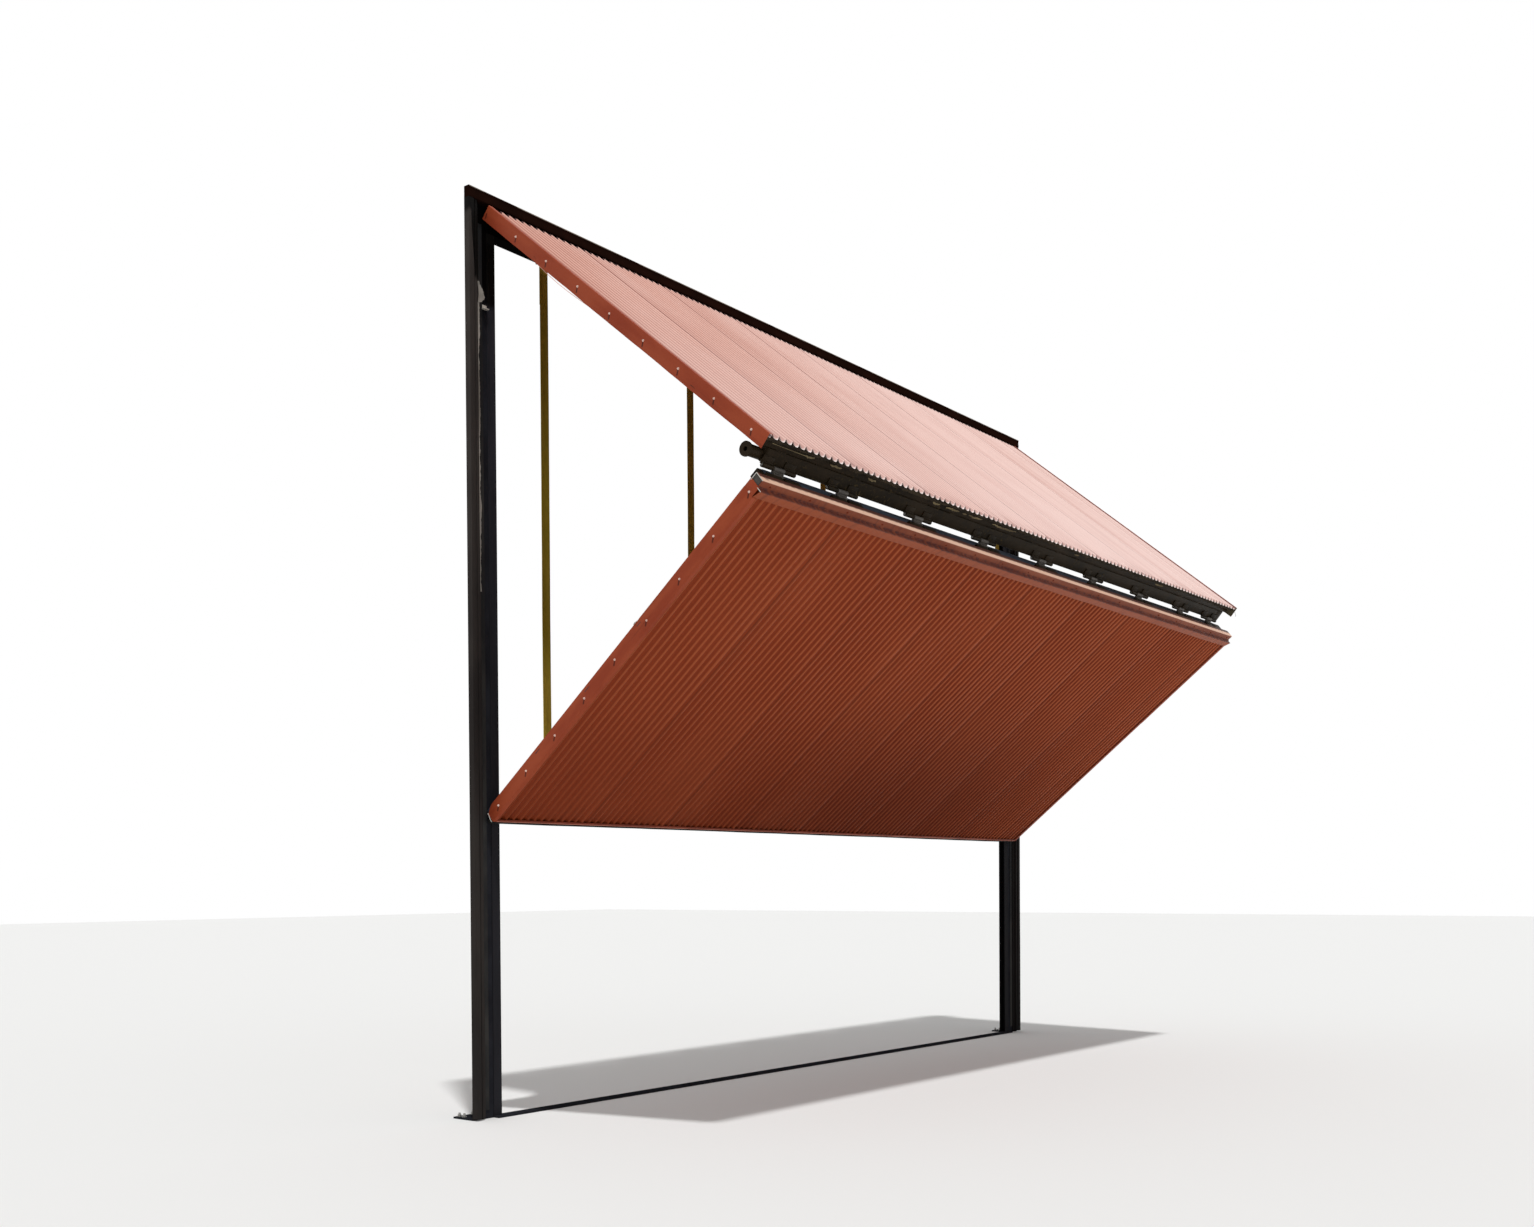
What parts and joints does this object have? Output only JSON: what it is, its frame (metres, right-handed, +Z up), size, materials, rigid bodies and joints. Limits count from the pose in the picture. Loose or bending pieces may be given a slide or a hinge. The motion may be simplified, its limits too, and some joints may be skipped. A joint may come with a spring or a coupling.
{
  "type": "bifold hangar door",
  "caption": "Two-leaf folding overhead hangar door, half open: ribbed steel leaves hinged to a header and to each other, lifted by straps wound on a shaft behind the lower leaf, in a steel frame.",
  "frame": {"origin": "on the floor at the middle of the doorway, on the underside of the sill, in the plane of the outer wall face", "axes": "+X along the wall to the right as seen from outside, +Y into the building, +Z up"},
  "size_m": [7.62, 2.6769, 6.31],
  "materials": {
    "frame_grey": "weathered blue-grey paint",
    "header_black": "dark folded flashing",
    "jamb_grey": "weathered dark grey flashing",
    "rubber": "black weather seal",
    "track_grey": "dark grey painted channel",
    "leaf_frame": "dark blue-grey painted tube",
    "sheet_red": "sun-faded brick-red corrugated sheet",
    "trim_red": "brick-red folded trim",
    "closure_foam": "weathered closure strip",
    "hinge_steel": "grey painted steel",
    "pin_steel": "dull steel",
    "roller_nylon": "black nylon",
    "motor_grey": "grey enamel",
    "strap_yellow": "yellow woven webbing"
  },
  "bodies": {
    "root": {"left_post": "frame_grey", "right_post": "frame_grey", "header_beam": "frame_grey", "header_trim": "header_black", "left_jamb_trim": "jamb_grey", "right_jamb_trim": "jamb_grey", "left_jamb_seal": "rubber", "right_jamb_seal": "rubber", "left_guide_track": "track_grey", "right_guide_track": "track_grey", "sill": "frame_grey", "upper_frame": "leaf_frame", "upper_fold_beam": "leaf_frame", "upper_sheet": "sheet_red", "upper_left_trim": "trim_red", "upper_right_trim": "trim_red", "upper_closure_strip": "closure_foam", "leaf_hinges": "hinge_steel", "lower_frame": "leaf_frame", "lower_fold_beam": "leaf_frame", "lower_sheet": "sheet_red", "lower_left_trim": "trim_red", "lower_right_trim": "trim_red", "lower_cap_trim": "trim_red", "lower_bottom_trim": "trim_red", "bottom_seal": "rubber", "header_hinges": "hinge_steel", "header_hinge_pins": "pin_steel", "upper_fold_hinges": "hinge_steel", "lower_fold_hinges": "hinge_steel", "fold_hinge_pins": "pin_steel", "left_guide_roller": "roller_nylon", "right_guide_roller": "roller_nylon", "left_roller_arm": "hinge_steel", "right_roller_arm": "hinge_steel", "drive_shaft": "pin_steel", "strap_drums": "hinge_steel", "shaft_bearings": "hinge_steel", "gear_motor": "motor_grey", "strap_anchors": "hinge_steel", "lift_strap_1": "strap_yellow", "lift_strap_2": "strap_yellow", "lift_strap_3": "strap_yellow", "lift_strap_4": "strap_yellow", "lift_strap_5": "strap_yellow"}
  },
  "joints": []
}
